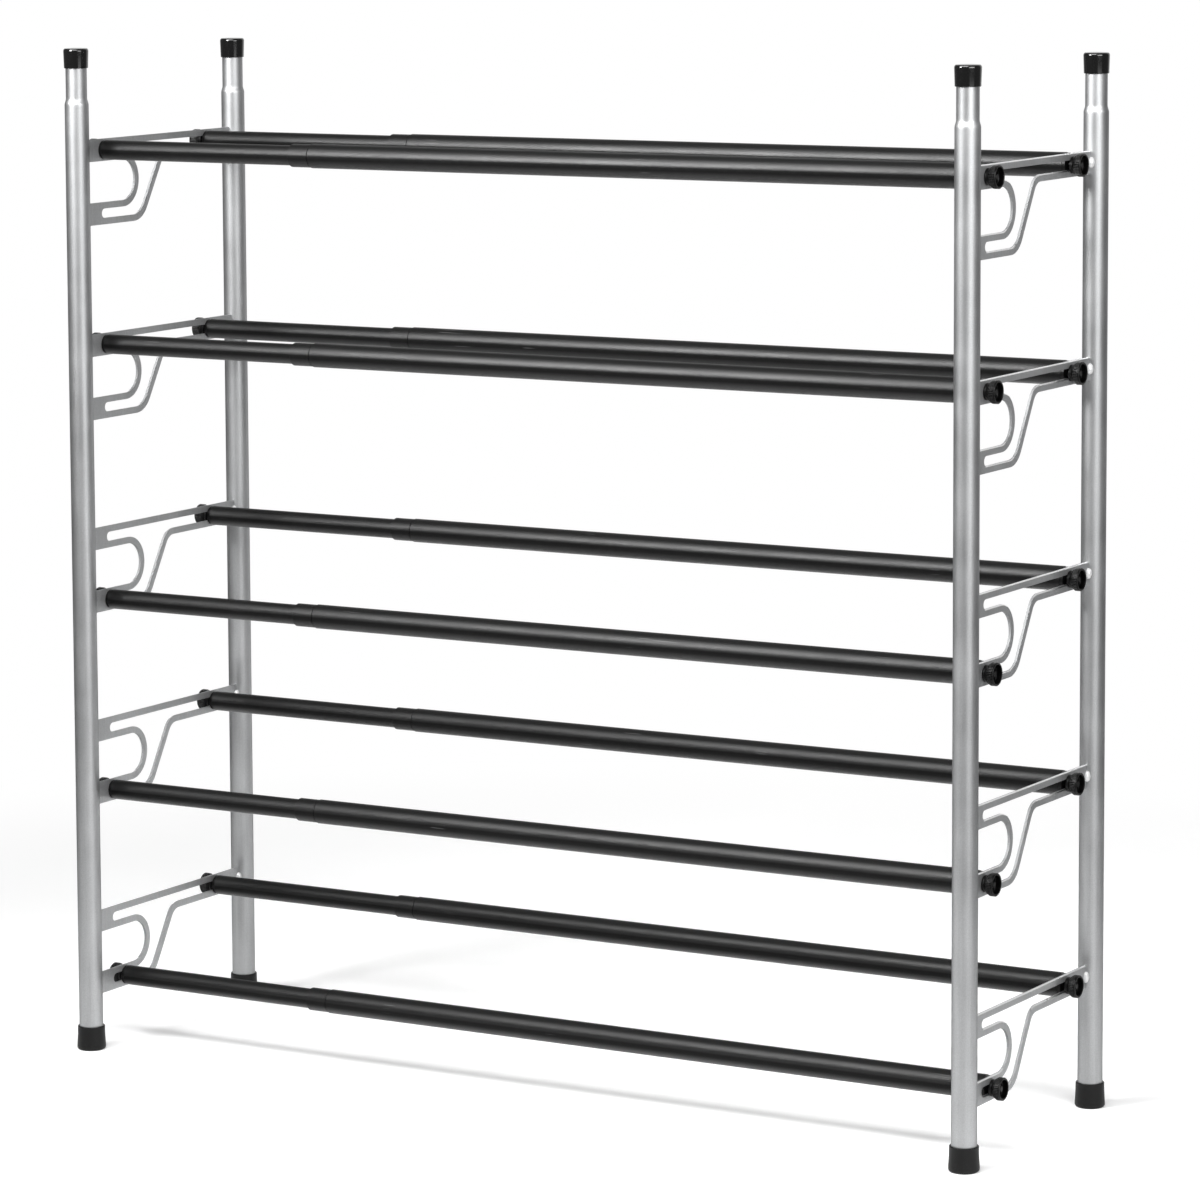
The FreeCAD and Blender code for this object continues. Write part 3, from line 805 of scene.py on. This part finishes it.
class RACK_OT_knobs(bpy.types.Operator):
    """Clamping knobs with a ribbed grip round a deep recess"""
    bl_idname = "rack.knobs"
    bl_label = "Knobs"

    def execute(self, context):
        sizes = context.scene.rack_sizes
        low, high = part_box("knob_front_right_5")
        run = high.x - low.x
        head = (high.z - low.z) / 2 - sizes.knob_inset
        shank = sizes.shank / 2
        flange = sizes.knob_flange_diameter / 2
        waist = sizes.knob_waist_diameter / 2
        throat = sizes.knob_throat / 2
        grip_start = run - sizes.knob_grip
        head_start = grip_start - sizes.knob_flare
        face = head_start - sizes.knob_waist - sizes.knob_flange
        grip_end = run - sizes.knob_chamfer
        rim = head - sizes.knob_chamfer
        recess = rim - sizes.knob_rim
        floor = run - sizes.knob_recess
        boss = sizes.knob_boss / 2
        slope = sizes.knob_waist_slope
        lip = sizes.knob_lip
        edge = FINE_EDGE

        def flared(share):
            """A point on the slope from the throat to the grip."""
            return throat + (head - throat) * share, head_start + sizes.knob_flare * share

        profile = [
            (0, 0), (shank - edge, 0), (shank, edge), (shank, face), (flange - edge, face),
            (flange, face + edge), (flange, face + sizes.knob_flange - edge),
            (flange - edge, face + sizes.knob_flange), (waist, face + sizes.knob_flange + slope),
            (waist, head_start - slope), (throat - edge, head_start - lip),
            flared(0.05), flared(0.3), flared(0.4), flared(1),
            (head, grip_end - 2 * edge), (head, grip_end - edge),
            (head, grip_end), (rim + lip, run - lip), (rim, run),
            (recess + edge, run), (recess, run - edge), (recess, floor + edge),
            (recess - edge, floor), (boss + edge, floor), (boss, floor + edge),
            (boss, floor + sizes.knob_boss_length - edge), (boss - edge, floor + sizes.knob_boss_length),
            (0, floor + sizes.knob_boss_length),
        ]
        slices = SLICES_PER_RIB * sizes.rib_count
        pattern = turned("knob", profile, slices)
        mesh = pattern.data
        slice_angle = 2 * math.pi / slices
        # The ribs reach from the ring at 0.4 of the flare to the ring two edges short of the grip's end.
        ribs_start, ribs_end = flared(0.35)[1], grip_end - 1.5 * edge
        painted_highlight_crest = set()
        for vertex in mesh.vertices:
            turn = round(math.atan2(vertex.co.y, vertex.co.x) / slice_angle)
            skin = math.hypot(vertex.co.x, vertex.co.y) > recess + edge / 2
            ribbed = ribs_start < vertex.co.z < ribs_end and skin
            sunk = turn % SLICES_PER_RIB < SLICES_PER_RIB / 2
            vertex.select = ribbed and sunk
            if ribbed and not sunk:
                painted_highlight_crest.add(vertex.index)
        # Faces wholly on the ribs' crests take the grey second slot, a painted highlight.
        for polygon in mesh.polygons:
            polygon.select = False
            polygon.material_index = 1 if painted_highlight_crest.issuperset(polygon.vertices) else 0
        for mesh_edge in mesh.edges:
            mesh_edge.select = False
        bpy.ops.object.mode_set(mode="EDIT")
        bpy.ops.mesh.select_mode(type="VERT")
        groove = 1 - sizes.rib_depth / head
        bpy.ops.transform.resize(value=(groove, groove, 1), center_override=(0, 0, 0))
        bpy.ops.object.mode_set(mode="OBJECT")
        bpy.ops.object.shade_smooth_by_angle(angle=RIB_SMOOTH_ANGLE)
        for row in ROWS:
            for tier in TIERS:
                for side, sign in SIDES.items():
                    node = f"knob_{row}_{side}_{tier}"
                    low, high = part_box(node)
                    start = low.x if sign > 0 else high.x
                    piece = twin(pattern, f"grip_{row}_{side}_{tier}")
                    piece.data.transform(across(sign, middle_of(node), start))
                    dress(piece, (moulded_nylon, painted_highlight_nylon), node, "black_plastic", node)
        drop(pattern)
        return {"FINISHED"}


class RACK_OT_stage(bpy.types.Operator):
    """White studio: floor, softboxes, room and camera"""
    bl_idname = "rack.stage"
    bl_label = "Stage"

    def execute(self, context):
        scene = context.scene
        stage = scene.rack_stage
        self.lay_floor(context)
        self.hang_lights(stage)
        self.light_room(scene, stage)
        self.set_camera(scene, stage)
        scene.view_settings.view_transform = "Standard"
        return {"FINISHED"}

    def room_level(self, tree, way, stage):
        """How bright the room is: white to the camera and through glass, dim to the light that bounces.

        Reflections find it white straight behind the rack and dim at the sides. The way is a direction,
        or a place on the floor. Also gives 1 for the rays that look at the room."""
        path = add_node(tree, "ShaderNodeLightPath")
        rear = (-math.sin(stage.heading / 2), math.cos(stage.heading / 2), 0)
        level = add_node(tree, "ShaderNodeVectorMath", {0: way, 1: (1, 1, 0)}, operation="MULTIPLY")
        level = add_node(tree, "ShaderNodeVectorMath", {0: level.outputs["Vector"]}, operation="NORMALIZE")
        ahead = add_node(tree, "ShaderNodeVectorMath", {0: level.outputs["Vector"], 1: rear},
                         operation="DOT_PRODUCT")
        behind = add_node(tree, "ShaderNodeMapRange", {"Value": ahead.outputs["Value"],
                                                       "From Min": ROOM_BACK[0],
                                                       "From Max": ROOM_BACK[1]})
        gloss = add_node(tree, "ShaderNodeMath", {0: path.outputs["Is Glossy Ray"],
                                                  1: behind.outputs["Result"]}, operation="MULTIPLY")
        straight = add_node(tree, "ShaderNodeMath", {0: path.outputs["Is Camera Ray"],
                                                     1: path.outputs["Is Transmission Ray"]},
                            operation="MAXIMUM")
        white = add_node(tree, "ShaderNodeMath", {0: straight.outputs[0], 1: gloss.outputs[0]},
                         operation="MAXIMUM")
        looks = add_node(tree, "ShaderNodeMath", {0: straight.outputs[0], 1: path.outputs["Is Glossy Ray"]},
                         operation="MAXIMUM")
        strength = add_node(tree, "ShaderNodeMapRange", {"Value": white.outputs[0],
                                                         "To Min": stage.ambient, "To Max": 1.0})
        return strength.outputs["Result"], looks.outputs[0]

    def lay_floor(self, context):
        bpy.ops.object.select_all(action="DESELECT")
        bpy.ops.mesh.primitive_plane_add(size=FLOOR_SPAN, location=(0, 0, 0))
        floor = context.object
        floor.name = "studio_floor"
        # Matte board, so pale that only the shadows show, with a little white added where it is seen. It
        # fades into the room away from the rack.
        material, tree = new_material("White studio board, rolled matte paint")
        place = add_node(tree, "ShaderNodeTexCoord").outputs["Object"]
        stage = context.scene.rack_stage
        strength, looks = self.room_level(tree, place, stage)
        away = add_node(tree, "ShaderNodeVectorMath", {0: place}, operation="LENGTH")
        far = add_node(tree, "ShaderNodeMapRange", {"Value": away.outputs["Value"],
                                                    "From Min": FLOOR_FADE[0], "From Max": FLOOR_FADE[1]},
                       interpolation_type="SMOOTHSTEP")
        plain = add_node(tree, "ShaderNodeMath", {0: far.outputs["Result"], 1: looks}, operation="MULTIPLY")
        lift = add_node(tree, "ShaderNodeMath", {0: looks, 1: stage.lift}, operation="MULTIPLY")
        board = add_node(tree, "ShaderNodeBsdfDiffuse",
                         {"Color": opaque(context.scene.rack_colours.floor), "Roughness": 0.5})
        lifted = add_node(tree, "ShaderNodeEmission", {"Strength": lift.outputs[0]})
        near = add_node(tree, "ShaderNodeAddShader", {0: board.outputs["BSDF"],
                                                      1: lifted.outputs["Emission"]})
        room = add_node(tree, "ShaderNodeEmission", {"Strength": strength})
        surface = add_node(tree, "ShaderNodeMixShader", {0: plain.outputs[0], 1: near.outputs["Shader"],
                                                         2: room.outputs["Emission"]})
        add_node(tree, "ShaderNodeOutputMaterial", {"Surface": surface.outputs["Shader"]})
        floor.data.materials.append(material)

    def hang_lights(self, stage):
        # Each lamp's name, power, place, target, size and beam in degrees
        lamps = (("key_softbox", stage.key, (-0.8, -1.6, 1.6), (-0.1, -0.1, 1.05), (0.6, 0.6), 62),
                 ("side_softbox", stage.side, (1.75, -0.95, 1.4), (0.1, 0.0, 0.75), (1.3, 0.8), 110),
                 ("side_reflector", stage.fill, (1.9, -1.0, 0.4), (0.1, 0.0, 0.4), (1.2, 0.7), 150),
                 ("top_softbox", stage.top, (-0.15, -1.35, 2.3), (-0.1, -0.1, 0.0), (2.4, 0.8), 120))
        for name, watts, place, target, size, beam in lamps:
            light = bpy.data.lights.new(name, "AREA")
            light.shape = "RECTANGLE"
            light.size, light.size_y = size
            light.energy = watts
            light.spread = math.radians(beam)
            lamp = bpy.data.objects.new(name, light)
            lamp.location = place
            aim = Vector(target) - Vector(place)
            lamp.rotation_euler = aim.to_track_quat("-Z", "Y").to_euler()
            lamp.visible_camera = False
            bpy.context.scene.collection.objects.link(lamp)

    def light_room(self, scene, stage):
        world = bpy.data.worlds.new("white_room")
        world.use_nodes = True
        tree = world.node_tree
        tree.nodes.clear()
        way = add_node(tree, "ShaderNodeTexCoord").outputs["Generated"]
        strength = self.room_level(tree, way, stage)[0]
        room = add_node(tree, "ShaderNodeBackground", {"Color": (1.0, 1.0, 1.0, 1.0), "Strength": strength})
        add_node(tree, "ShaderNodeOutputWorld", {"Surface": room.outputs["Background"]})
        scene.world = world

    def set_camera(self, scene, stage):
        data = bpy.data.cameras.new("front_right_view")
        data.sensor_width = SENSOR_WIDTH
        data.lens = stage.lens
        data.shift_x, data.shift_y = stage.shift
        data.clip_end = VIEW_REACH
        camera = bpy.data.objects.new("front_right_view", data)
        scene.collection.objects.link(camera)
        camera.matrix_world = (Matrix.Translation(stage.place)
                               @ Matrix.Rotation(stage.heading, 4, "Z")
                               @ Matrix.Rotation(math.pi / 2 - stage.tilt, 4, "X")
                               @ Matrix.Rotation(stage.roll, 4, "Z"))
        scene.camera = camera


class RACK_PT_sidebar(bpy.types.Panel):
    """Lists the rack's operators, sizes and colours"""
    bl_idname = "RACK_PT_sidebar"
    bl_label = "Shoe Rack"
    bl_space_type = "VIEW_3D"
    bl_region_type = "UI"
    bl_category = "Shoe Rack"

    def draw(self, context):
        layout = self.layout
        for operator in OPERATORS:
            layout.operator(operator.bl_idname)
        for settings in (context.scene.rack_colours, context.scene.rack_sizes, context.scene.rack_stage):
            column = layout.column(align=True)
            for name in settings.__annotations__:
                column.prop(settings, name)


OPERATORS = (RACK_OT_posts, RACK_OT_brackets, RACK_OT_welds, RACK_OT_caps, RACK_OT_feet, RACK_OT_rods,
             RACK_OT_knobs, RACK_OT_stage)
CLASSES = (RackColours, RackSizes, RackStage, *OPERATORS, RACK_PT_sidebar)


def register():
    for item in CLASSES:
        bpy.utils.register_class(item)
    bpy.types.Scene.rack_colours = bpy.props.PointerProperty(type=RackColours)
    bpy.types.Scene.rack_sizes = bpy.props.PointerProperty(type=RackSizes)
    bpy.types.Scene.rack_stage = bpy.props.PointerProperty(type=RackStage)


def unregister():
    del bpy.types.Scene.rack_stage
    del bpy.types.Scene.rack_sizes
    del bpy.types.Scene.rack_colours
    for item in reversed(CLASSES):
        bpy.utils.unregister_class(item)


def main():
    register()
    bpy.ops.rack.posts()
    bpy.ops.rack.brackets()
    bpy.ops.rack.welds()
    bpy.ops.rack.caps()
    bpy.ops.rack.feet()
    bpy.ops.rack.rods()
    bpy.ops.rack.knobs()
    bpy.ops.rack.stage()


if __name__ == "__main__":
    main()
